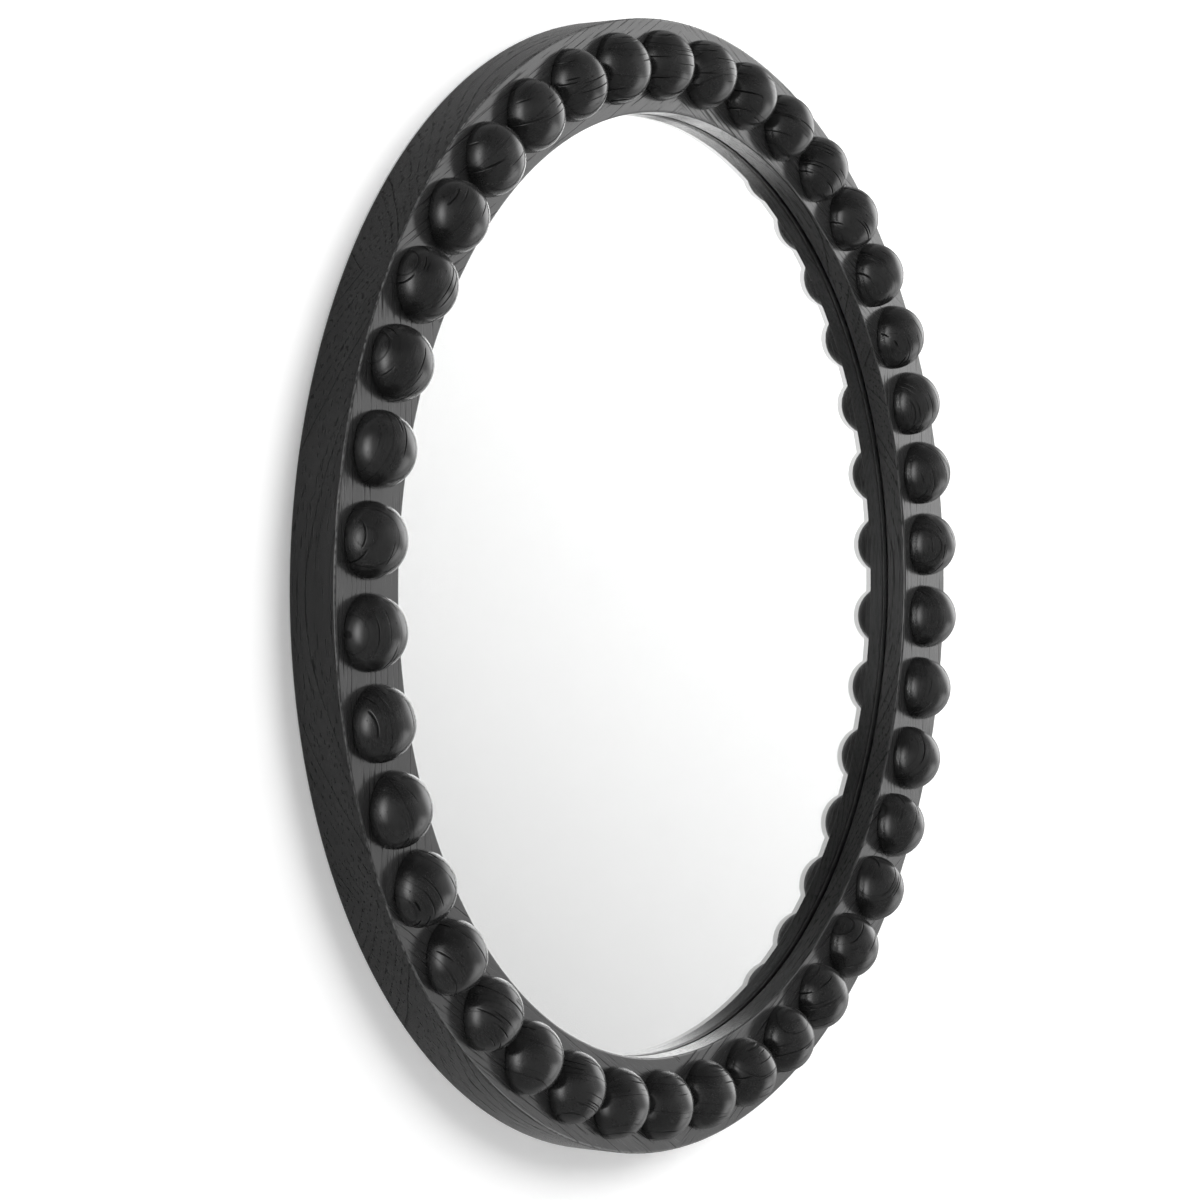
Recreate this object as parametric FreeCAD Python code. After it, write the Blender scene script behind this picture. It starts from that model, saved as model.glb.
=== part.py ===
import FreeCAD, Part
import math
import os
from FreeCAD import Vector

# Round wall mirror: a wooden ring of glued segments with a circle of turned half-beads on its face.
# Units are millimetres. +Z is up, the front faces -Y and the wall is the plane y = 0.
# Angles run clockwise from the top as seen from the front. The origin of the written parts is the
# midpoint between the two keyhole entries, on the wall plane.

# Ring
outer_diameter = 800.0
frame_depth = 36.0
segment_count = 6
front_edge_radius = 1.5
back_edge_radius = 1.0

# Half-beads on the face, and the strips of face that show beside and between them
bead_diameter = 50.0
bead_gap = 7.6
bead_margin = 8.0
bead_edge_radius = 0.6
dowel_diameter = 8.0
dowel_depth = 12.0
dowel_chamfer = 0.8

# Loose tenons that join the segments end to end
tenon_length = 50.0
tenon_width = 28.0
tenon_thickness = 8.0

# Mirror glass and what lies before and behind it in the rebate
sight_wall = 15.0
tape_thickness = 1.0
tape_setback = 2.0
glass_thickness = 5.0
glass_overlap = 10.0
glass_chamfer = 0.8
silvering = 0.3
board_thickness = 6.0
board_edge_radius = 0.5

# Turn buttons that hold the backing board
ledge_width = 16.5
button_thickness = 2.0
button_overlap = 12.0
button_tip_radius = 5.0
button_edge_radius = 0.4
pivot_diameter = 3.5
pivot_screw_depth = 14.0
pan_head_diameter = 7.0
pan_head_height = 2.4
screw_point = 3.0

# Keyhole hanger plates let into the back
hanger_angle = 68.0
plate_length = 42.0
plate_width = 16.0
plate_thickness = 1.5
entry_diameter = 9.0
entry_drop = 4.0
keyhole_width = 4.6
keyhole_rise = 10.0
head_pocket_depth = 7.0
head_pocket_side = 1.0
plate_screw_spacing = 30.0
plate_screw_diameter = 3.0
plate_screw_depth = 14.0
countersink_diameter = 6.4

# Clearances
glue_clearance = 0.05
hole_end_clearance = 0.5
glass_clearance = 1.5
board_clearance = 1.0
button_clearance = 0.2
button_wall_clearance = 1.75
pivot_clearance = 0.05
plate_clearance = 0.3
countersink_clearance = 0.05

# Radii worked out from the sizes above
outer_radius = outer_diameter / 2
bead_radius = bead_diameter / 2
face_width = bead_diameter + 2 * bead_margin
opening_radius = outer_radius - face_width
bead_circle = opening_radius + face_width / 2
glass_radius = opening_radius + glass_overlap
rebate_radius = glass_radius + glass_clearance
board_radius = rebate_radius - board_clearance
ledge_radius = rebate_radius + ledge_width
rim_middle = (ledge_radius + outer_radius) / 2
pivot_circle = rebate_radius + ledge_width / 2
tenon_circle = outer_radius - (outer_radius - ledge_radius - tenon_width) / 2 - tenon_width / 2

# Depths from front to back
front = -frame_depth
shoulder = front + sight_wall
glass_front = shoulder + tape_thickness
glass_back = glass_front + glass_thickness
board_front = glass_back + silvering
board_back = board_front + board_thickness
button_front = board_back + button_clearance
button_back = button_front + button_thickness
tenon_middle = (front + dowel_depth) / 2

# Angles
bead_pitch_length = bead_diameter + bead_gap
bead_count = round(2 * math.pi * bead_circle / bead_pitch_length)
bead_pitch = 360.0 / bead_count
segment_angle = 360.0 / segment_count

axis = Vector(0, 1, 0)
centre = Vector(0, 0, 0)
hanger_height = rim_middle * math.cos(math.radians(hanger_angle))
hanger_half_spacing = rim_middle * math.sin(math.radians(hanger_angle))
row_origin = Vector(0, 0, hanger_height)


def around(shape, angle):
    """Copy of a shape built at the top of the ring, turned clockwise about the ring's axis."""
    turned = shape.copy()
    turned.rotate(centre, axis, angle)
    return turned


def moved(shape, offset):
    """Copy of a shape moved by an offset."""
    copy = shape.copy()
    copy.translate(offset)
    return copy


def cylinder(radius, start, end, x=0.0, z=0.0):
    """Round bar parallel to the ring's axis, between two depths."""
    return Part.makeCylinder(radius, end - start, Vector(x, start, z), axis)


def cone(start_radius, end_radius, start, end):
    """Taper along the ring's axis, between two depths."""
    return Part.makeCone(start_radius, end_radius, end - start, Vector(0, start, 0), axis)


def rounded_face(corners):
    """Flat face through corners given as (point, radius), each with its own tangent arc."""
    arrivals = []
    departures = []
    middles = []
    for index, (point, radius) in enumerate(corners):
        back = (corners[index - 1][0] - point).normalize()
        ahead = (corners[(index + 1) % len(corners)][0] - point).normalize()
        half = back.getAngle(ahead) / 2
        reach = radius / math.tan(half)
        inward = (back + ahead).normalize()
        arrivals.append(point + back * reach)
        departures.append(point + ahead * reach)
        middles.append(point + inward * (radius / math.sin(half) - radius))
    edges = []
    for index, (point, radius) in enumerate(corners):
        if radius > 0:
            arc = Part.Arc(arrivals[index], middles[index], departures[index])
            edges.append(arc.toShape())
        following = (index + 1) % len(corners)
        edges.append(Part.LineSegment(departures[index], arrivals[following]).toShape())
    return Part.Face(Part.Wire(edges))


def capsule(radius_low, radius_high, low, high, start, end):
    """Plate parallel to the wall, with round ends at two heights joined by tangent sides."""
    lean = math.asin((radius_low - radius_high) / (high - low))
    side = math.cos(lean)
    rise = math.sin(lean)
    low_right = Vector(radius_low * side, start, low + radius_low * rise)
    low_left = Vector(-low_right.x, start, low_right.z)
    high_right = Vector(radius_high * side, start, high + radius_high * rise)
    high_left = Vector(-high_right.x, start, high_right.z)
    top = Vector(0, start, high + radius_high)
    bottom = Vector(0, start, low - radius_low)
    outline = [
        Part.LineSegment(low_right, high_right).toShape(),
        Part.Arc(high_right, top, high_left).toShape(),
        Part.LineSegment(high_left, low_left).toShape(),
        Part.Arc(low_left, bottom, low_right).toShape(),
    ]
    return Part.Face(Part.Wire(outline)).extrude(Vector(0, end - start, 0))


def edges_at_depth(shape, depth):
    """Edges of a shape that lie wholly in the plane at one depth."""
    found = []
    for edge in shape.Edges:
        box = edge.BoundBox
        if abs(box.YMin - depth) < 1e-6 and abs(box.YMax - depth) < 1e-6:
            found.append(edge)
    return found


def wood_screw(head, head_end, shank_diameter, tip):
    """Screw along the ring's axis: a head, a plain shank and a point towards the front."""
    radius = shank_diameter / 2
    shank = cylinder(radius, tip + screw_point, head_end)
    point = cone(0, radius, tip, tip + screw_point)
    return head.fuse([shank, point]).removeSplitter()


def make_bead():
    """Half ball with an eased foot, drilled for its dowel, at the top of the bead circle."""
    ball = Part.makeSphere(bead_radius, Vector(0, front, 0), Vector(0, -1, 0), 0, 90, 360)
    foot = [edge for edge in edges_at_depth(ball, front) if edge.Length > bead_radius]
    bead = ball.makeFillet(bead_edge_radius, foot)
    bead = bead.cut(cylinder(dowel_diameter / 2 + glue_clearance, bead_hole_end, front))
    return moved(bead, Vector(0, 0, bead_circle))


def make_dowel():
    """Chamfered pin, half in the bead and half in the ring."""
    pin = cylinder(dowel_diameter / 2, front - dowel_depth, front + dowel_depth)
    rims = edges_at_depth(pin, front - dowel_depth) + edges_at_depth(pin, front + dowel_depth)
    return moved(pin.makeChamfer(dowel_chamfer, rims), Vector(0, 0, bead_circle))


def make_tenon(extra_side, extra_end):
    """Loose tenon across a joint at the top, or its mortise when the extras are clearances."""
    radius = tenon_thickness / 2 + extra_side
    reach = tenon_width / 2 - tenon_thickness / 2
    half_length = tenon_length / 2 + extra_end
    flat = capsule(radius, radius, -reach, reach, -half_length, half_length)
    flat.rotate(centre, Vector(0, 0, 1), 90)
    return moved(flat, Vector(0, tenon_middle, tenon_circle))


def make_turn_button():
    """Tapered flat button that points at the ring's axis, drilled for its pivot screw."""
    pivot_end = ledge_width / 2 - button_wall_clearance
    reach = ledge_width / 2 + board_clearance + button_overlap
    tip = pivot_circle - reach + button_tip_radius
    button = capsule(button_tip_radius, pivot_end, tip, pivot_circle, button_front, button_back)
    button = button.makeFillet(button_edge_radius, edges_at_depth(button, button_back))
    hole = cylinder(pivot_diameter / 2 + pivot_clearance, button_front, button_back, z=pivot_circle)
    return button.cut(hole)


def make_pivot_screw():
    """Pan-head screw that a turn button pivots on."""
    under_head = button_back + pivot_clearance
    head_top = under_head + pan_head_height
    head = cylinder(pan_head_diameter / 2, under_head, head_top)
    head = head.makeFillet(pan_head_height / 2, edges_at_depth(head, head_top))
    tip = board_back - pivot_screw_depth
    return moved(wood_screw(head, under_head, pivot_diameter, tip), Vector(0, 0, pivot_circle))


def make_plate_screw(offset):
    """Countersunk screw flush with the back of a hanger plate, at an offset from its middle."""
    head = cone(plate_screw_diameter / 2, countersink_diameter / 2, -plate_thickness, 0)
    screw = wood_screw(head, -plate_thickness, plate_screw_diameter, -plate_screw_depth)
    return moved(screw, Vector(0, 0, entry_drop + offset))


def make_hanger_plate():
    """Plate with round ends, a keyhole and two countersunk holes. Its entry hole is at z = 0."""
    end_radius = plate_width / 2
    reach = plate_length / 2 - end_radius
    low = entry_drop - reach
    high = entry_drop + reach
    plate = capsule(end_radius, end_radius, low, high, -plate_thickness, 0)
    slot_radius = keyhole_width / 2
    slot = capsule(slot_radius, slot_radius, 0, keyhole_rise, -plate_thickness, 0)
    entry = cylinder(entry_diameter / 2, -plate_thickness, 0)
    plate = plate.cut(slot.fuse(entry))
    small = plate_screw_diameter / 2 + countersink_clearance
    large = countersink_diameter / 2 + countersink_clearance
    for offset in plate_screw_offsets:
        sink = cone(small, large, -plate_thickness, 0)
        plate = plate.cut(moved(sink, Vector(0, 0, entry_drop + offset)))
    return plate


def make_hanger_pocket():
    """Everything cut from the ring behind one hanger plate, with the entry hole at z = 0."""
    end_radius = plate_width / 2 + plate_clearance
    reach = plate_length / 2 - plate_width / 2
    low = entry_drop - reach
    high = entry_drop + reach
    seat = capsule(end_radius, end_radius, low, high, -plate_thickness, 0)
    head_radius = entry_diameter / 2 + head_pocket_side
    head_floor = -plate_thickness - head_pocket_depth
    cuts = [seat, capsule(head_radius, head_radius, 0, keyhole_rise, head_floor, 0)]
    pilot_radius = plate_screw_diameter / 2 + glue_clearance
    for offset in plate_screw_offsets:
        cuts.append(cylinder(pilot_radius, -plate_screw_depth, 0, z=entry_drop + offset))
    return cuts


def make_segment_blank():
    """One segment of the ring with its rebate, ledge and eased edges, starting at the top."""
    corners = [
        (Vector(0, front, opening_radius), front_edge_radius),
        (Vector(0, front, outer_radius), front_edge_radius),
        (Vector(0, 0, outer_radius), back_edge_radius),
        (Vector(0, 0, ledge_radius), 0),
        (Vector(0, board_back, ledge_radius), 0),
        (Vector(0, board_back, rebate_radius), 0),
        (Vector(0, shoulder, rebate_radius), 0),
        (Vector(0, shoulder, opening_radius), 0),
    ]
    return rounded_face(corners).revolve(centre, axis, segment_angle)


def write(name, solids):
    """Writes one node, moved so that the row's origin lies between the keyhole entries."""
    shape = solids[0] if len(solids) == 1 else Part.makeCompound(solids)
    moved(shape, -row_origin).exportStep(os.path.join("parts", name + ".step"))


bead_hole_end = front - dowel_depth - hole_end_clearance
ring_hole_end = front + dowel_depth + hole_end_clearance
plate_screw_offsets = [-plate_screw_spacing / 2, plate_screw_spacing / 2]
bead_angles = [(index + 0.5) * bead_pitch for index in range(bead_count)]
joint_angles = [index * segment_angle for index in range(segment_count)]
button_angles = [(index + 0.5) * segment_angle for index in range(segment_count)]
hanger_places = [Vector(side * hanger_half_spacing, 0, hanger_height) for side in (-1, 1)]

os.makedirs("parts", exist_ok=True)

# Half-beads and their dowels
bead = make_bead()
for number, angle in enumerate(bead_angles, 1):
    write(f"bead_{number:02d}", [around(bead, angle)])
dowel = make_dowel()
write("bead_dowels", [around(dowel, angle) for angle in bead_angles])

# Ring segments, drilled, mortised and pocketed, and the tenons between them
dowel_hole = cylinder(dowel_diameter / 2 + glue_clearance, front, ring_hole_end, z=bead_circle)
pilot_tip = board_back - pivot_screw_depth
pivot_hole = cylinder(pivot_diameter / 2 + glue_clearance, pilot_tip, board_back, z=pivot_circle)
mortise = make_tenon(glue_clearance, hole_end_clearance)
ring_cuts = [around(dowel_hole, angle) for angle in bead_angles]
ring_cuts += [around(pivot_hole, angle) for angle in button_angles]
ring_cuts += [around(mortise, angle) for angle in joint_angles]
ring_cuts += [moved(cut, place) for place in hanger_places for cut in make_hanger_pocket()]
blank = make_segment_blank()
for number, angle in enumerate(joint_angles, 1):
    write(f"ring_segment_{number}", [around(blank, angle).cut(ring_cuts)])
tenon = make_tenon(0, 0)
write("segment_tenons", [around(tenon, angle) for angle in joint_angles])

# Glazing tape, mirror glass and backing board
tape = cylinder(glass_radius, shoulder, glass_front)
tape = tape.cut(cylinder(opening_radius + tape_setback, shoulder, glass_front))
write("glazing_tape", [tape])
glass = cylinder(glass_radius, glass_front, glass_back)
glass_rims = edges_at_depth(glass, glass_front) + edges_at_depth(glass, glass_back)
write("mirror_glass", [glass.makeChamfer(glass_chamfer, glass_rims)])
board = cylinder(board_radius, board_front, board_back)
board_rims = edges_at_depth(board, board_front) + edges_at_depth(board, board_back)
write("backing_board", [board.makeFillet(board_edge_radius, board_rims)])

# Turn buttons and their pivot screws
button = make_turn_button()
for number, angle in enumerate(button_angles, 1):
    write(f"turn_button_{number}", [around(button, angle)])
pivot_screw = make_pivot_screw()
write("turn_button_screws", [around(pivot_screw, angle) for angle in button_angles])

# Keyhole hanger plates and their screws
plate = make_hanger_plate()
write("hanger_plates", [moved(plate, place) for place in hanger_places])
plate_screws = [make_plate_screw(offset) for offset in plate_screw_offsets]
write("hanger_screws", [moved(screw, place) for place in hanger_places for screw in plate_screws])
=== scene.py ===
import math
import random

import bmesh
import bpy
from mathutils import Matrix, Vector


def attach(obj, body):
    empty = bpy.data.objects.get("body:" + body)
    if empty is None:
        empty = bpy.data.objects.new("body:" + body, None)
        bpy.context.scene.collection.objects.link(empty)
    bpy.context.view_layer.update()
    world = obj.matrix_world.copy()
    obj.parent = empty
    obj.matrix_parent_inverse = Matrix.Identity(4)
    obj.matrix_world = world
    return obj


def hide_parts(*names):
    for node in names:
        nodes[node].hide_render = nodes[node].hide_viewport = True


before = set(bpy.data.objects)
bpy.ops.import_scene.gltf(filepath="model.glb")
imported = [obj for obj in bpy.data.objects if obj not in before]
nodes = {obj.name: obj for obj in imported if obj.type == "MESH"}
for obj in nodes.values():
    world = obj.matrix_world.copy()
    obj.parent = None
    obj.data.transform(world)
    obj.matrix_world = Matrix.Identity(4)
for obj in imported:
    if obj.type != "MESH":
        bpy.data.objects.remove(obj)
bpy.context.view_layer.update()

# Sizes of the mirror, in metres, that the looks depend on
BEAD_COUNT = 40
SEGMENT_COUNT = 6
BEAD_RADIUS = 0.025
BEAD_CIRCLE = 0.367
BEAD_FOOT_RADIUS = 0.0006
RING_RADIUS = 0.4
OPENING_RADIUS = 0.334
RING_MIDDLE = Vector((0.0, 0.0, -0.142725))
FACE_DEPTH = -0.036
GLASS_BACK = -0.015
COAT_RADIUS = 0.343
COAT_THICKNESS = 0.00015
COAT_GAP = 0.00005
PIVOT_CIRCLE = 0.35375
PIVOT_HEAD_BACK = -0.00405
HANGER_HALF_SPACING = 0.353257
HANGER_SCREW_HEIGHTS = (-0.011, 0.019)

# Camera solved from the ring's edges and beads, in the row frame
CAMERA_PLACE = Vector((-2.08624, -1.346, -0.12267))
CAMERA_YAW = math.radians(56.532)
CAMERA_PITCH = math.radians(1.566)
CAMERA_ROLL = math.radians(0.105)
CAMERA_LENS = 103.82
CAMERA_SENSOR = 36.0
CAMERA_SHIFT_UP = -0.1167


class Nodes:
    """Adds nodes to one tree, with each input linked or set by its name or number."""

    def __init__(self, tree):
        self.tree = tree

    def add(self, kind, inputs, **settings):
        node = self.tree.nodes.new(kind)
        for key, value in settings.items():
            setattr(node, key, value)
        for key, value in inputs.items():
            if isinstance(value, bpy.types.NodeSocket):
                self.tree.links.new(value, node.inputs[key])
            else:
                node.inputs[key].default_value = value
        return node

    def math(self, operation, first, second=0.0, third=0.0):
        return self.add("ShaderNodeMath", {0: first, 1: second, 2: third}, operation=operation).outputs[0]

    def times(self, first, *others):
        """Product of two or more numbers."""
        for other in others:
            first = self.math("MULTIPLY", first, other)
        return first

    def weigh(self, first, *others):
        """Sum of numbers, each given with its weight."""
        total = self.math("MULTIPLY", *first)
        for other in others:
            total = self.math("ADD", total, self.math("MULTIPLY", *other))
        return total

    def vector(self, operation, first, second):
        node = self.add("ShaderNodeVectorMath", {0: first, 1: second}, operation=operation)
        return node.outputs["Value" if operation == "DOT_PRODUCT" else "Vector"]

    def length(self, vector):
        return self.add("ShaderNodeVectorMath", {0: vector}, operation="LENGTH").outputs["Value"]

    def place(self):
        """Point of the surface in the row frame, at rest."""
        return self.add("ShaderNodeTexCoord", {}).outputs["Object"]

    def noise(self, point, stretch, detail=2.0, roughness=0.5):
        scaled = self.vector("MULTIPLY", point, stretch)
        inputs = {"Vector": scaled, "Scale": 1.0, "Detail": detail, "Roughness": roughness}
        return self.add("ShaderNodeTexNoise", inputs).outputs[0]

    def change(self, kind, value, start, end, low, high):
        inputs = {"Value": value, "From Min": start, "From Max": end, "To Min": low, "To Max": high}
        return self.add("ShaderNodeMapRange", inputs, interpolation_type=kind).outputs[0]

    def ramp(self, value, start, end, low=0.0, high=1.0):
        """Even change from low to high as a value goes from start to end."""
        return self.change("LINEAR", value, start, end, low, high)

    def step(self, value, start, end, low=0.0, high=1.0):
        """Smooth change from low to high as a value goes from start to end."""
        return self.change("SMOOTHSTEP", value, start, end, low, high)

    def blend(self, factor, first, second):
        """Mix of two numbers."""
        return self.add("ShaderNodeMix", {0: factor, 2: first, 3: second}).outputs[0]

    def mix(self, factor, first, second):
        """Mix of two colours."""
        return self.add("ShaderNodeMix", {0: factor, 6: first, 7: second}, data_type="RGBA").outputs[2]

    def bump(self, height, distance, strength=1.0):
        inputs = {"Height": height, "Distance": distance, "Strength": strength}
        return self.add("ShaderNodeBump", inputs).outputs[0]

    def light_path(self):
        return self.add("ShaderNodeLightPath", {}).outputs

    def backfacing(self):
        return self.add("ShaderNodeNewGeometry", {}).outputs["Backfacing"]

    def output(self, shader):
        self.add("ShaderNodeOutputMaterial", {"Surface": shader})

    def surface(self, inputs):
        self.output(self.add("ShaderNodeBsdfPrincipled", inputs).outputs[0])


def grey(value):
    return (value, value, value, 1.0)


def even(value):
    return (value, value, value)


def new_material(name):
    material = bpy.data.materials.new(name)
    material.use_nodes = True
    material.node_tree.nodes.clear()
    return material, Nodes(material.node_tree)


def dress(obj, material):
    obj.data.materials.clear()
    obj.data.materials.append(material)


def new_piece(name, points, faces):
    mesh = bpy.data.meshes.new(name)
    mesh.from_pydata(points, [], faces)
    mesh.validate()
    obj = bpy.data.objects.new(name, mesh)
    bpy.context.scene.collection.objects.link(obj)
    return obj


def ring_place(radius, angle, depth):
    """Point in the row frame at an angle clockwise from the top, seen from the front."""
    return RING_MIDDLE + Vector((radius * math.sin(angle), depth, radius * math.cos(angle)))


def circle(radius, depth, sides):
    """Points evenly round the ring's axis."""
    return [ring_place(radius, 2.0 * math.pi * index / sides, depth) for index in range(sides)]


# Wood. Its own coordinates are x along the fibres, y from front to back and z across the board.
RING_SPACING = 0.0036
SWAY_STRETCH = (4.0, 16.0, 16.0)
SWAY_REACH = 0.012
LINE_FADE = (0.0, 0.25)
LINE_HARDNESS = (0.2, 0.9)
LINE_SHADE = 0.8
LINE_SINK = -0.4
EARLY_WOOD = (0.0, 0.6)
LATE_WOOD_LOSS = 0.1
PORE_STRETCH = (26.0, 860.0, 860.0)
PORE_EDGE = (0.6, 0.72)
PORE_SHADE = 0.8
PORE_SINK = -0.6
PORE_TONE = 0.25
FLECK_STRETCH = (110.0, 1100.0, 1100.0)
FLECK_SHARE = 0.35
FLECK_RISE = 0.1
CLOUD_STRETCH = (8.0, 60.0, 60.0)
CLOUD_SHARE = 0.65
STAIN_EDGE = (0.3, 0.7)
STAIN_SPREAD = 0.25
WORN_TONE = 0.25
SHINE = 0.5
PORE_SHINE = 0.15
# Lift of the inner wall's colour is painted light; its smoother gloss is the turned finish
PAINTED_LIGHT_LIFT = 1.0
TURNED_GLOSS = 0.6
RING_FINISH = {
    "stain": 0.023,
    "openness": 0.12,
    "depth": 0.00005,
    "gloss": 0.13,
    "streak": 0.25,
    "index": 1.74,
}
BEAD_FINISH = {
    "stain": 0.02,
    "openness": 0.02,
    "depth": 0.000006,
    "gloss": 0.19,
    "streak": 0.15,
    "index": 1.6,
}


def stained_wood(tools, point, pith, finish, painted_check_shade=None, wear=None, turned_gloss_and_painted_light=None):
    """Black-stained wood under a satin lacquer, for a point in the wood's own coordinates."""
    tone = finish["stain"]
    openness = finish["openness"]
    sway = tools.math("MULTIPLY", tools.noise(point, SWAY_STRETCH), SWAY_REACH)
    across = tools.vector("MULTIPLY", tools.vector("SUBTRACT", point, pith), (0.0, 1.0, 1.0))
    years = tools.math("DIVIDE", tools.math("ADD", tools.length(across), sway), RING_SPACING)
    season = tools.math("FRACT", years)
    year = tools.math("FLOOR", years)
    hardness = tools.add("ShaderNodeTexWhiteNoise", {"W": year}, noise_dimensions="1D").outputs["Value"]
    line = tools.times(tools.step(season, *LINE_FADE, 1.0, 0.0), tools.step(hardness, *LINE_HARDNESS))
    pore_level = tools.step(season, *EARLY_WOOD, openness, openness - LATE_WOOD_LOSS)
    pores = tools.step(tools.math("ADD", tools.noise(point, PORE_STRETCH), pore_level), *PORE_EDGE)
    flecks = tools.noise(point, FLECK_STRETCH, 1.0)
    clouds = tools.noise(point, CLOUD_STRETCH, 3.0)

    shade = tools.weigh((line, LINE_SHADE), (pores, PORE_SHADE))
    # Checks darken the wood here, as painted shade inside the grooves
    if painted_check_shade is not None:
        shade = tools.math("ADD", shade, painted_check_shade)
    shade = tools.math("MINIMUM", shade, 1.0)
    blotch = tools.step(tools.weigh((clouds, CLOUD_SHARE), (flecks, FLECK_SHARE)), *STAIN_EDGE)
    stain = tools.mix(blotch, grey((1.0 - STAIN_SPREAD) * tone), grey((1.0 + STAIN_SPREAD) * tone))
    colour = tools.mix(shade, stain, grey(PORE_TONE * tone))
    if wear is not None:
        colour = tools.mix(wear, colour, grey(WORN_TONE))
    rough = tools.math("MULTIPLY_ADD", shade, finish["streak"], finish["gloss"])
    relief = 1.0
    # On the inner wall the colour is made lighter, which is painted light, and the lacquer is smoother and
    # less bumpy
    if turned_gloss_and_painted_light is not None:
        painted_light_gain = tools.math("MULTIPLY_ADD", turned_gloss_and_painted_light, PAINTED_LIGHT_LIFT, 1.0)
        scaled = tools.add("ShaderNodeVectorMath", {0: colour, "Scale": painted_light_gain}, operation="SCALE")
        colour = scaled.outputs[0]
        relief = tools.math("MULTIPLY_ADD", turned_gloss_and_painted_light, -TURNED_GLOSS, 1.0)
        rough = tools.math("MULTIPLY", rough, relief)
    height = tools.weigh((pores, PORE_SINK), (line, LINE_SINK), (flecks, FLECK_RISE))
    tools.surface({
        "Base Color": colour,
        "Roughness": rough,
        "Normal": tools.bump(height, finish["depth"], relief),
        "IOR": finish["index"],
        "Specular IOR Level": tools.step(shade, 0.0, 1.0, SHINE, PORE_SHINE),
    })


# Ring segments: straight boards, each with its fibres square to its own middle radius
PITH_SEED = 11
PITH_ASIDE = (0.09, 0.15)
PITH_BEHIND = (0.03, 0.1)
BOARD_SHIFT = 0.7
WEAR_REACH = 0.0011
WEAR_CORE = 0.3
WEAR_STRETCH = even(260.0)
WEAR_EDGE = (0.35, 0.65)
WEAR_LEAST = 0.15
WEAR_SPREAD = even(7.0)
WEAR_SPREAD_EDGE = (0.35, 0.6)
INNER_WALL_EDGE = (OPENING_RADIUS + 0.0002, OPENING_RADIUS + 0.001)


def worn_edge(tools, centred, radius):
    """Where the stain is rubbed thin, along the outer front edge of the ring."""
    inwards = tools.math("SUBTRACT", RING_RADIUS, radius)
    backwards = tools.math("SUBTRACT", tools.vector("DOT_PRODUCT", centred, (0.0, 1.0, 0.0)), FACE_DEPTH)
    squares = tools.math("MULTIPLY_ADD", inwards, inwards, tools.math("MULTIPLY", backwards, backwards))
    at_edge = tools.step(tools.math("SQRT", squares), WEAR_CORE * WEAR_REACH, WEAR_REACH, 1.0, 0.0)
    rubbed = tools.step(tools.noise(centred, WEAR_STRETCH, 3.0), *WEAR_EDGE, WEAR_LEAST, 1.0)
    places = tools.step(tools.noise(centred, WEAR_SPREAD), *WEAR_SPREAD_EDGE)
    return tools.times(at_edge, tools.times(rubbed, places))


segment_angle = 2.0 * math.pi / SEGMENT_COUNT
pith_draws = random.Random(PITH_SEED)
for number in range(SEGMENT_COUNT):
    material, tools = new_material(f"ring_wood_{number + 1}")
    centred = tools.vector("SUBTRACT", tools.place(), RING_MIDDLE)
    levelled = tools.add(
        "ShaderNodeVectorRotate",
        {"Vector": centred, "Angle": -(number + 0.5) * segment_angle},
        rotation_type="Y_AXIS",
    ).outputs[0]
    board_point = tools.vector("ADD", levelled, (BOARD_SHIFT * number, 0.0, 0.0))
    aside = pith_draws.choice((-1.0, 1.0)) * pith_draws.uniform(*PITH_ASIDE)
    pith = (0.0, pith_draws.uniform(*PITH_BEHIND), BEAD_CIRCLE + aside)
    radius = tools.length(tools.vector("MULTIPLY", centred, (1.0, 0.0, 1.0)))
    wear = worn_edge(tools, centred, radius)
    # Inner wall of the opening: turned and glossier, and lighter in colour as painted light
    turned_gloss_and_painted_light = tools.step(radius, *INNER_WALL_EDGE, 1.0, 0.0)
    stained_wood(tools, board_point, pith, RING_FINISH, wear=wear, turned_gloss_and_painted_light=turned_gloss_and_painted_light)
    dress(nodes[f"ring_segment_{number + 1}"], material)

# Beads: rows of the mesh follow the fibres, so that a check in the wood is a groove along them
bead_material, tools = new_material("bead_wood")
wood_point = tools.add("ShaderNodeAttribute", {}, attribute_name="wood_point").outputs["Vector"]
# Checks are darkened by their depth: painted shade inside the grooves
check_painted_shade = tools.add("ShaderNodeAttribute", {}, attribute_name="check").outputs["Fac"]
stained_wood(tools, wood_point, even(0.0), BEAD_FINISH, painted_check_shade=check_painted_shade)

BEAD_SEED = 500
BEAD_LEAN = 0.08
BEAD_TILT = 0.45
LOG_ALONG = 3.0
LOG_BEHIND = 0.03
LOG_ASIDE = (0.08, 0.16)
ROW_COUNT = 56
COLUMN_COUNT = 60
FOOT_COLUMNS = (0.0, 0.006, 0.014, 0.026, 0.045)
CHECK_COUNTS = (4, 7, 10, 13, 16)
CHECK_SPREAD = 0.85
CHECK_MIDDLES = (0.15, 0.5, 0.85)
CHECK_SCATTER = 0.15
CHECK_REACH = (0.2, 0.8)
CHECK_WIDTH = (0.0003, 0.00055)
CHECK_DEPTH = (0.0004, 0.0009)
CHECK_ROWS = (-1.6, -1.0, -0.5, 0.0, 0.5, 1.0, 1.6)
CHECK_CLEARANCE = 2.0
CHECK_FULL_SHADE_DEPTH = 0.00015


def bead_columns():
    """Angles across a bead from one end of its fibres to the other, close together at the foot."""
    first = FOOT_COLUMNS[-1]
    inner = [first + (math.pi - 2.0 * first) * index / COLUMN_COUNT for index in range(1, COLUMN_COUNT)]
    return list(FOOT_COLUMNS) + inner + [math.pi - angle for angle in reversed(FOOT_COLUMNS)]


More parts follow.
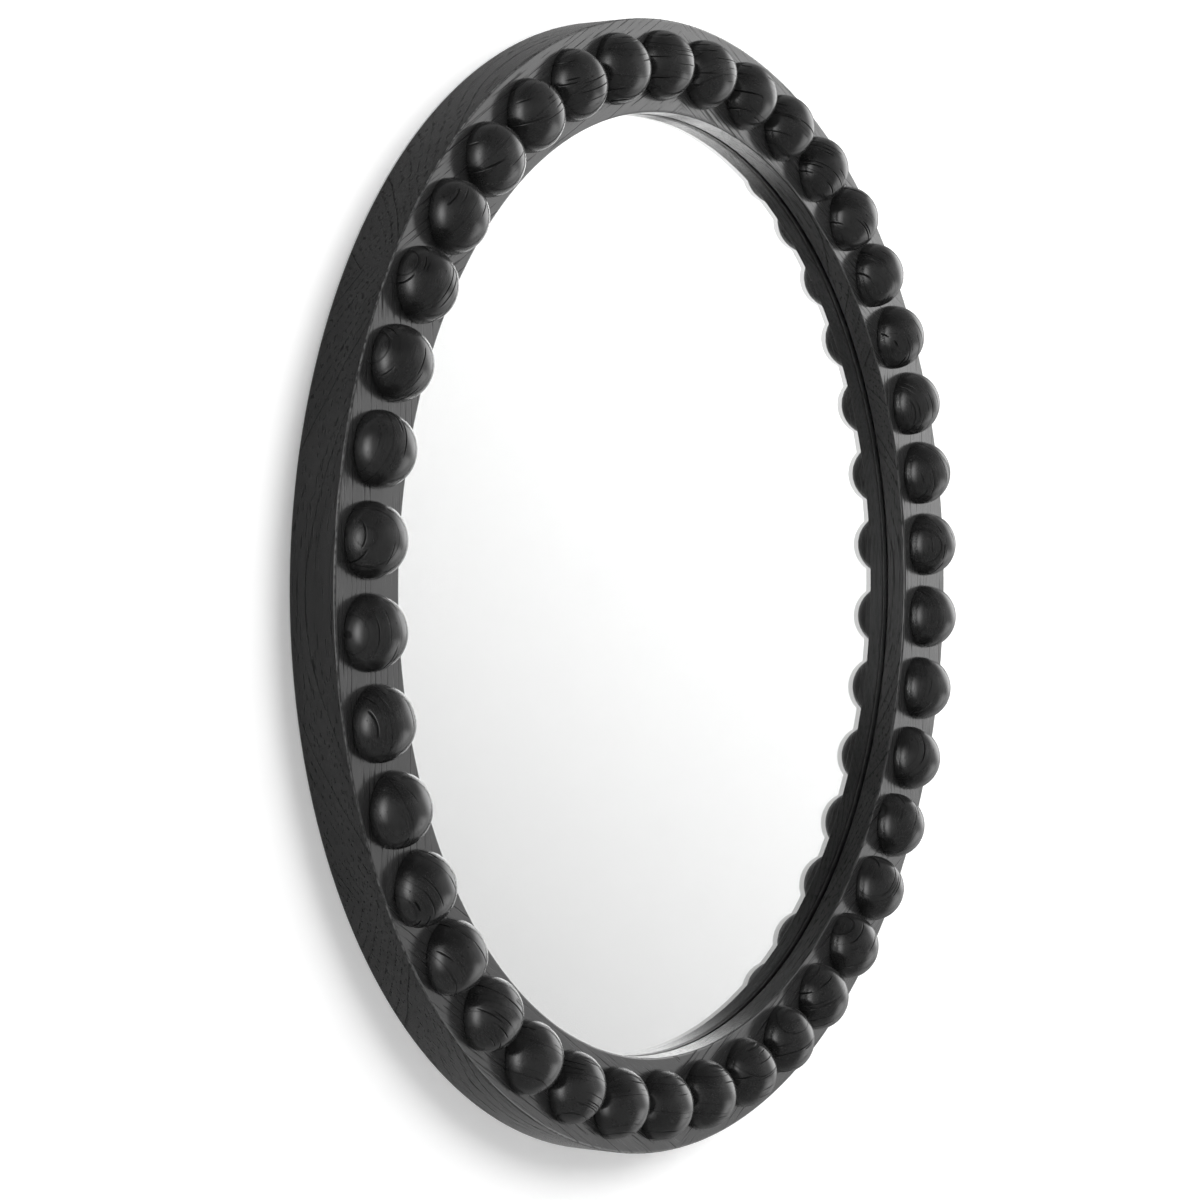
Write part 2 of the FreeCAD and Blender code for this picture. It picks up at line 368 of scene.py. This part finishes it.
def make_checks(draws):
    """Drying checks of one bead: place across the fibres, place and reach along them, width and depth."""
    checks = []
    for _ in range(draws.choice(CHECK_COUNTS)):
        checks.append({
            "across": draws.uniform(-CHECK_SPREAD, CHECK_SPREAD) * BEAD_RADIUS,
            "along": draws.choice(CHECK_MIDDLES) * math.pi + draws.gauss(0.0, CHECK_SCATTER),
            "reach": draws.uniform(*CHECK_REACH),
            "width": draws.uniform(*CHECK_WIDTH),
            "depth": draws.uniform(*CHECK_DEPTH),
        })
    return checks


def bead_rows(checks):
    """Offsets across the fibres, with extra rows at each check."""
    rows = [BEAD_RADIUS * math.sin(math.pi * (index / ROW_COUNT - 0.5)) for index in range(1, ROW_COUNT)]
    for check in checks:
        rows = [row for row in rows if abs(row - check["across"]) > CHECK_CLEARANCE * check["width"]]
    for check in checks:
        rows += [check["across"] + share * check["width"] for share in CHECK_ROWS]
    return sorted(rows)


def check_depth(checks, across, angle):
    """How deep the deepest check is at a place on a bead, in metres."""
    deepest = 0.0
    for check in checks:
        side = abs(across - check["across"]) / check["width"]
        run = abs(angle - check["along"]) / check["reach"]
        if side < 1.0 and run < 1.0:
            deepest = max(deepest, check["depth"] * (1.0 - side) * (1.0 - run * run))
    return deepest


def foot_limit(depth):
    """Largest distance from a bead's axis at a height over the face, with its eased foot."""
    if depth >= BEAD_FOOT_RADIUS:
        return BEAD_RADIUS
    rise = BEAD_FOOT_RADIUS - depth
    return BEAD_RADIUS - BEAD_FOOT_RADIUS + math.sqrt(BEAD_FOOT_RADIUS ** 2 - rise ** 2)


def bead_faces(row_count, width):
    """Faces of the dome, the flat foot and the two ends, from points in rows."""
    faces = []
    for row in range(row_count - 1):
        first = row * width
        for start in range(first, first + width - 1):
            faces.append((start, start + 1, start + width + 1, start + width))
        faces.append((first, first + width, first + 2 * width - 1, first + width - 1))
    last = (row_count - 1) * width
    faces.append(tuple(range(width - 1, -1, -1)))
    faces.append(tuple(range(last, last + width)))
    return faces


def make_bead(number):
    draws = random.Random(BEAD_SEED + number)
    checks = make_checks(draws)
    rows = bead_rows(checks)
    columns = bead_columns()
    angle = (number - 0.5) * 2.0 * math.pi / BEAD_COUNT
    turn = Matrix.Rotation(angle, 3, "Y")
    lean = Matrix.Rotation(draws.uniform(-BEAD_LEAN, BEAD_LEAN), 3, "Y")
    tilt = Matrix.Rotation(draws.uniform(-BEAD_TILT, BEAD_TILT), 3, "X")
    centre = ring_place(BEAD_CIRCLE, angle, FACE_DEPTH)
    log_side = draws.choice((-1.0, 1.0)) * draws.uniform(*LOG_ASIDE)
    log_along = draws.uniform(-LOG_ALONG, LOG_ALONG)
    log_behind = draws.uniform(-LOG_BEHIND, LOG_BEHIND)
    log_place = Vector((log_along, log_behind, log_side))
    points = []
    wood_points = []
    check_shade_depths = []
    for across in rows:
        reach = math.sqrt(max(BEAD_RADIUS ** 2 - across ** 2, 0.0))
        for column in columns:
            groove = check_depth(checks, across, column)
            local = Vector((reach * math.cos(column), -reach * math.sin(column), across))
            side = math.hypot(local.x, local.z)
            limit = foot_limit(-local.y)
            if side > limit:
                local.x *= limit / side
                local.z *= limit / side
            wood_points.append(tilt @ local + log_place)
            local *= 1.0 - groove / BEAD_RADIUS
            points.append(centre + turn @ (lean @ local))
            # Darkness in each check grows with its depth, as painted shade
            check_shade_depths.append(min(groove / CHECK_FULL_SHADE_DEPTH, 1.0))
    obj = new_piece(f"bead_ball_{number:02d}", points, bead_faces(len(rows), len(columns)))
    wood = obj.data.attributes.new("wood_point", "FLOAT_VECTOR", "POINT")
    wood.data.foreach_set("vector", [value for point in wood_points for value in point])
    check = obj.data.attributes.new("check", "FLOAT", "POINT")
    check.data.foreach_set("value", check_shade_depths)
    shape = bmesh.new()
    shape.from_mesh(obj.data)
    bmesh.ops.recalc_face_normals(shape, faces=shape.faces)
    for face in shape.faces:
        face.smooth = True
    shape.to_mesh(obj.data)
    shape.free()
    dress(obj, bead_material)
    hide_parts(f"bead_{number:02d}")
    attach(obj, "mirror")


for number in range(1, BEAD_COUNT + 1):
    make_bead(number)

# Mirror: glass with a reflecting front over a silver coat, which together show a double image
FRONT_REFLECTION = 0.32
GLASS_INDEX = 1.52
GLASS_TINTS = ((0.985, 0.988, 0.986, 1.0), (0.99, 0.992, 0.99, 1.0))
COAT_SIDES = 240
material, tools = new_material("mirror_glass")
tint = tools.mix(tools.noise(tools.place(), even(8.0)), *GLASS_TINTS)
clear = tools.add("ShaderNodeBsdfPrincipled", {
    "Base Color": tint,
    "Roughness": 0.0,
    "IOR": GLASS_INDEX,
    "Transmission Weight": 1.0,
}).outputs[0]
front_share = tools.math("MULTIPLY_ADD", tools.backfacing(), -FRONT_REFLECTION, FRONT_REFLECTION)
front = tools.add("ShaderNodeBsdfGlossy", {"Color": tint, "Roughness": 0.0}).outputs[0]
tools.output(tools.add("ShaderNodeMixShader", {0: front_share, 1: clear, 2: front}).outputs[0])
dress(nodes["mirror_glass"], material)

material, tools = new_material("silver_coat")
silver = tools.mix(tools.noise(tools.place(), even(30.0)), grey(0.93), grey(0.95))
tools.surface({"Base Color": silver, "Roughness": 0.0, "Metallic": 1.0})

coat_front = GLASS_BACK + COAT_GAP
points = circle(COAT_RADIUS, coat_front, COAT_SIDES)
points += circle(COAT_RADIUS, coat_front + COAT_THICKNESS, COAT_SIDES)
faces = [tuple(range(COAT_SIDES)), tuple(range(2 * COAT_SIDES - 1, COAT_SIDES - 1, -1))]
for index in range(COAT_SIDES):
    following = (index + 1) % COAT_SIDES
    faces.append((index, COAT_SIDES + index, COAT_SIDES + following, following))
coat = new_piece("silver_coat", points, faces)
dress(coat, material)
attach(coat, "mirror")

# Felt tape, drawn in greys lighter than black felt, as painted light in its shaded gap
material, tools = new_material("felt_tape")
fuzz = tools.noise(tools.place(), even(2500.0), 3.0)
felt_with_painted_light = tools.mix(fuzz, grey(0.2), grey(0.34))
tools.surface({"Base Color": felt_with_painted_light, "Roughness": 0.95, "Normal": tools.bump(fuzz, 0.0002)})
dress(nodes["glazing_tape"], material)

# Backing board of brown fibreboard
BOARD_TONES = ((0.30, 0.205, 0.13, 1.0), (0.40, 0.285, 0.19, 1.0))
BOARD_FLECK_TONE = (0.2, 0.13, 0.08, 1.0)
BOARD_FLECK_EDGE = (0.5, 0.75)
BOARD_FLECK_SHARE = 0.55
material, tools = new_material("fibreboard")
place = tools.place()
broad = tools.noise(place, even(14.0), 3.0)
fleck = tools.noise(place, (900.0, 900.0, 420.0), 4.0, 0.7)
fleck_share = tools.step(fleck, *BOARD_FLECK_EDGE, 0.0, BOARD_FLECK_SHARE)
board_tone = tools.mix(fleck_share, tools.mix(broad, *BOARD_TONES), BOARD_FLECK_TONE)
tools.surface({"Base Color": board_tone, "Roughness": 0.72, "Normal": tools.bump(fleck, 0.0001)})
dress(nodes["backing_board"], material)

# Steel of the turn buttons, hanger plates and screws
STEEL_CLOUDS = even(160.0)
STEEL_DULL = 0.88
STEEL_WARM = 0.97
STEEL_MARK_EDGE = (0.3, 0.7)
STEEL_GLOSS = (0.24, 0.42)
STEEL_MARK_DEPTH = 0.00002


def steel_material(name, tone, brush):
    """Zinc-plated steel with faint rolling marks along one direction."""
    material, tools = new_material(name)
    place = tools.place()
    marks = tools.noise(place, brush, 3.0, 0.6)
    clouds = tools.noise(place, STEEL_CLOUDS)
    tools.surface({
        "Base Color": tools.mix(clouds, grey(tone * STEEL_DULL), (tone, tone, tone * STEEL_WARM, 1.0)),
        "Metallic": 1.0,
        "Roughness": tools.step(marks, *STEEL_MARK_EDGE, *STEEL_GLOSS),
        "Normal": tools.bump(marks, STEEL_MARK_DEPTH),
    })
    return material


button_steel = steel_material("button_steel", 0.66, (1500.0, 1500.0, 160.0))
for number in range(1, SEGMENT_COUNT + 1):
    dress(nodes[f"turn_button_{number}"], button_steel)
dress(nodes["hanger_plates"], steel_material("plate_steel", 0.7, (2200.0, 2200.0, 90.0)))
screw_steel = steel_material("screw_steel", 0.62, even(900.0))

# Beech of the dowels and tenons
BEECH_TONES = ((0.5, 0.34, 0.2, 1.0), (0.68, 0.5, 0.33, 1.0))
material, tools = new_material("beech")
beech = tools.mix(tools.noise(tools.place(), (700.0, 40.0, 700.0), 3.0), *BEECH_TONES)
tools.surface({"Base Color": beech, "Roughness": 0.6})
dress(nodes["bead_dowels"], material)
dress(nodes["segment_tenons"], material)

# Screws with a cross recess, cut into copies of their CAD meshes
RECESS_LENGTH = 0.0042
RECESS_WIDTH = 0.001
RECESS_DEPTH = 0.0013
RECESS_LIFT = 0.0008
RECESS_END_SHARE = 0.35
RECESS_LIFT_SHARE = 1.4
RECESS_WIDTH_TAPER = 0.3
PIVOT_RECESS = 1.0
PLATE_RECESS = 0.8


def recess_cutter(places, size):
    """Crossed tapered wedges that open towards the wall, one pair at each place."""
    points = []
    faces = []
    for place in places:
        for turn in (math.pi / 4.0, 3.0 * math.pi / 4.0):
            spin = Matrix.Rotation(turn, 3, "Y")
            start = len(points)
            for depth, share in ((-RECESS_DEPTH, RECESS_END_SHARE), (RECESS_LIFT, RECESS_LIFT_SHARE)):
                width_share = 1.0 - RECESS_WIDTH_TAPER + RECESS_WIDTH_TAPER * share
                for x, z in ((-1, -1), (1, -1), (1, 1), (-1, 1)):
                    length = size * x * RECESS_LENGTH * share / 2.0
                    width = size * z * RECESS_WIDTH * width_share / 2.0
                    points.append(place + spin @ Vector((length, size * depth, width)))
            faces += [tuple(start + corner for corner in face) for face in ((0, 1, 2, 3), (7, 6, 5, 4))]
            for corner in range(4):
                following = (corner + 1) % 4
                faces.append((start + following, start + corner, start + 4 + corner, start + 4 + following))
    return new_piece("recess_cutter", points, faces)


def recessed_screws(node_name, piece_name, places, size):
    mesh = nodes[node_name].data.copy()
    mesh.name = piece_name
    obj = bpy.data.objects.new(piece_name, mesh)
    bpy.context.scene.collection.objects.link(obj)
    cutter = recess_cutter(places, size)
    cut = obj.modifiers.new("recess", "BOOLEAN")
    cut.operation = "DIFFERENCE"
    cut.solver = "EXACT"
    cut.use_self = True
    cut.object = cutter
    graph = bpy.context.evaluated_depsgraph_get()
    carved = bpy.data.meshes.new_from_object(obj.evaluated_get(graph))
    obj.modifiers.clear()
    obj.data = carved
    bpy.data.objects.remove(cutter)
    dress(obj, screw_steel)
    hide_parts(node_name)
    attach(obj, "mirror")


pivot_places = []
for number in range(SEGMENT_COUNT):
    pivot_places.append(ring_place(PIVOT_CIRCLE, (number + 0.5) * segment_angle, PIVOT_HEAD_BACK))
recessed_screws("turn_button_screws", "pivot_screws", pivot_places, PIVOT_RECESS)
plate_places = []
for side in (-1, 1):
    for height in HANGER_SCREW_HEIGHTS:
        plate_places.append(Vector((side * HANGER_HALF_SPACING, 0.0, height)))
recessed_screws("hanger_screws", "plate_screws", plate_places, PLATE_RECESS)

# Wall behind the ring, open behind the mirror so that its back is lit, and a pale floor below
WALL_DEPTH = 0.0006
WALL_OPENING = 0.395
WALL_REACH = 5.0
WALL_SIDES = 180
WALL_WHITE = 0.24
WALL_TONE = 0.86
FLOOR_HEIGHT = -1.7
FLOOR_REACH = 6.0
FLOOR_WHITE = 0.4
FLOOR_TONES = (grey(0.8), grey(0.84))


def stage_surface(tools, paint, glow, white, hidden=None):
    """Paint that is whiter for the camera and doesn't show in reflections, or where it is hidden."""
    paths = tools.light_path()
    unseen = paths["Is Glossy Ray"]
    if hidden is not None:
        unseen = tools.math("MAXIMUM", hidden, unseen)
    strength = tools.math("MULTIPLY", paths["Is Camera Ray"], white)
    painted = tools.add("ShaderNodeBsdfDiffuse", {"Color": paint}).outputs[0]
    glowing = tools.add("ShaderNodeEmission", {"Color": glow, "Strength": strength}).outputs[0]
    lit = tools.add("ShaderNodeAddShader", {0: painted, 1: glowing}).outputs[0]
    clear = tools.add("ShaderNodeBsdfTransparent", {}).outputs[0]
    tools.output(tools.add("ShaderNodeMixShader", {0: unseen, 1: lit, 2: clear}).outputs[0])


points = circle(WALL_OPENING, WALL_DEPTH, WALL_SIDES) + circle(WALL_REACH, WALL_DEPTH, WALL_SIDES)
faces = []
for index in range(WALL_SIDES):
    following = (index + 1) % WALL_SIDES
    faces.append((following, WALL_SIDES + following, WALL_SIDES + index, index))
wall = new_piece("wall", points, faces)
material, tools = new_material("wall_paint")
stage_surface(tools, grey(WALL_TONE), grey(1.0), WALL_WHITE, hidden=tools.backfacing())
dress(wall, material)

floor_corners = ((-1, -1), (1, -1), (1, 1), (-1, 1))
floor_points = [(x * FLOOR_REACH, y * FLOOR_REACH, FLOOR_HEIGHT) for x, y in floor_corners]
floor = new_piece("floor", floor_points, [(0, 1, 2, 3)])
material, tools = new_material("floor_paint")
pale = tools.mix(tools.noise(tools.place(), even(3.0)), *FLOOR_TONES)
stage_surface(tools, pale, pale, FLOOR_WHITE)
dress(floor, material)

# Levels of the light by direction, and of the pale room that only the mirror shows
SIDE_LIGHT = Vector((0.94, -0.2, 0.28)).normalized()
SIDE_LEVEL = 1.46
SIDE_CORE = 1.2
SIDE_SPREAD = 0.66
SIDE_TOP_SHARE = 0.3
LOW_SIDE = 1.3
LOW_SIDE_SHARE = 0.2
LEFT_STRIP = 3.6
LEFT_GLOW = 0.4
STRIP_FORWARD = 0.1
STRIP_HEIGHT = 0.05
ROOM_LEVEL = 0.2
BACK_LEVEL = 0.8
BACK_SHEEN = 0.3
BACK_WINDOW = 0.9
MIRROR_ROOM_LOW = 0.66
MIRROR_ROOM_HIGH = 0.95
MIRROR_DEPTH_LIMIT = 1.5

# Where each light begins and ends, as the part of a direction that lies along its axis
SIDE_EDGE = (0.76, 0.93)
SIDE_SPREAD_EDGE = (0.3, 0.78)
SIDE_CORE_EDGE = (0.9, 0.98)
SIDE_TOP_EDGE = (0.3, 0.7)
LOW_RIGHT_EDGE = (0.3, 0.7)
LOW_FRONT_EDGE = (-0.25, -0.5)
LOW_EDGE = (-0.15, -0.35)
STRIP_EDGE = (0.0, 0.26)
GLOW_EDGE = (0.2, 0.7)
STRIP_LEFT_EDGE = (-0.1, -0.4)
STRIP_END_EDGE = (0.0, 0.75)
BACK_SHEEN_EDGE = (-0.1, 0.6)
BACK_WINDOW_EDGE = (0.75, 0.97)
BACK_EDGE = (0.0, 0.2)
MIRROR_SIDE_EDGE = (0.72, 0.5)
MIRROR_ROOM_EDGE = (-0.45, 0.25)

world = bpy.data.worlds.new("studio")
world.use_nodes = True
world.node_tree.nodes.clear()
bpy.context.scene.world = world
tools = Nodes(world.node_tree)
paths = tools.light_path()
way = tools.add("ShaderNodeTexCoord", {}).outputs["Generated"]
to_right = tools.vector("DOT_PRODUCT", way, (1.0, 0.0, 0.0))
to_back = tools.vector("DOT_PRODUCT", way, (0.0, 1.0, 0.0))
to_top = tools.vector("DOT_PRODUCT", way, (0.0, 0.0, 1.0))
to_side = tools.vector("DOT_PRODUCT", way, SIDE_LIGHT)

# Right side, with a low part in front
side = tools.ramp(to_side, *SIDE_EDGE, ROOM_LEVEL, SIDE_LEVEL)
spread = tools.ramp(to_side, *SIDE_SPREAD_EDGE, ROOM_LEVEL, SIDE_SPREAD)
side = tools.math("MAXIMUM", side, spread)
side = tools.math("ADD", side, tools.step(to_side, *SIDE_CORE_EDGE, 0.0, SIDE_CORE))
side = tools.times(side, tools.step(to_top, *SIDE_TOP_EDGE, 1.0, SIDE_TOP_SHARE))
low_right = tools.step(to_right, *LOW_RIGHT_EDGE, 0.0, LOW_SIDE)
low_front = tools.step(to_back, *LOW_FRONT_EDGE, LOW_SIDE_SHARE, 1.0)
low_side = tools.times(tools.step(to_top, *LOW_EDGE), low_right, low_front)
front = tools.math("ADD", side, low_side)

# Strip at the left, with a glow round it
off_strip = tools.math("ABSOLUTE", tools.math("ADD", to_back, STRIP_FORWARD))
strip = tools.ramp(off_strip, *STRIP_EDGE, LEFT_STRIP, 0.0)
strip = tools.math("ADD", strip, tools.step(off_strip, *GLOW_EDGE, LEFT_GLOW, 0.0))
off_level = tools.math("ABSOLUTE", tools.math("SUBTRACT", to_top, STRIP_HEIGHT))
strip_end = tools.step(off_level, *STRIP_END_EDGE, 1.0, 0.0)
strip = tools.times(strip, tools.step(to_right, *STRIP_LEFT_EDGE), strip_end)

# Back, and the pale room that shows in the mirror
back_sheen = tools.step(to_right, *BACK_SHEEN_EDGE, ROOM_LEVEL, BACK_SHEEN)
back_sheen = tools.math("ADD", back_sheen, tools.step(to_back, *BACK_WINDOW_EDGE, 0.0, BACK_WINDOW))
back = tools.blend(paths["Is Glossy Ray"], BACK_LEVEL, back_sheen)
mirrored = tools.math("MAXIMUM", paths["Is Transmission Ray"], paths["Is Singular Ray"])
first_image = tools.math("LESS_THAN", paths["Glossy Depth"], MIRROR_DEPTH_LIMIT)
mirrored = tools.times(mirrored, tools.step(to_right, *MIRROR_SIDE_EDGE), first_image)
mirror_room = tools.step(to_top, *MIRROR_ROOM_EDGE, MIRROR_ROOM_LOW, MIRROR_ROOM_HIGH)
front = tools.blend(mirrored, front, mirror_room)

# All directions together, white for the camera
level = tools.blend(tools.step(to_back, *BACK_EDGE), front, back)
level = tools.math("ADD", level, strip)
level = tools.blend(paths["Is Camera Ray"], level, 1.0)
sky = tools.add("ShaderNodeBackground", {"Color": grey(1.0), "Strength": level})
tools.add("ShaderNodeOutputWorld", {"Surface": sky.outputs[0]})

# Soft lamp from the upper right front, for the shadow on the wall
LAMP_PLACE = Vector((0.95, -2.1, 1.15))
LAMP_SIZE = 2.4
LAMP_POWER = 75.0
lamp_data = bpy.data.lights.new("side_lamp", "AREA")
lamp_data.shape = "DISK"
lamp_data.size = LAMP_SIZE
lamp_data.energy = LAMP_POWER
lamp = bpy.data.objects.new("side_lamp", lamp_data)
lamp.location = LAMP_PLACE
lamp.rotation_euler = (RING_MIDDLE - LAMP_PLACE).to_track_quat("-Z", "Y").to_euler()
lamp.visible_glossy = False
lamp.visible_transmission = False
bpy.context.scene.collection.objects.link(lamp)

# Camera
forward = Vector((
    math.sin(CAMERA_YAW) * math.cos(CAMERA_PITCH),
    math.cos(CAMERA_YAW) * math.cos(CAMERA_PITCH),
    math.sin(CAMERA_PITCH),
))
level_right = Vector((math.cos(CAMERA_YAW), -math.sin(CAMERA_YAW), 0.0))
level_up = level_right.cross(forward)
right = math.cos(CAMERA_ROLL) * level_right + math.sin(CAMERA_ROLL) * level_up
up = math.cos(CAMERA_ROLL) * level_up - math.sin(CAMERA_ROLL) * level_right
camera_data = bpy.data.cameras.new("camera")
camera_data.lens = CAMERA_LENS
camera_data.sensor_width = CAMERA_SENSOR
camera_data.shift_y = CAMERA_SHIFT_UP
camera = bpy.data.objects.new("camera", camera_data)
axes = Matrix((right, up, -forward)).transposed().to_4x4()
camera.matrix_world = Matrix.Translation(CAMERA_PLACE) @ axes
bpy.context.scene.collection.objects.link(camera)
bpy.context.scene.camera = camera
bpy.context.scene.view_settings.view_transform = "Standard"
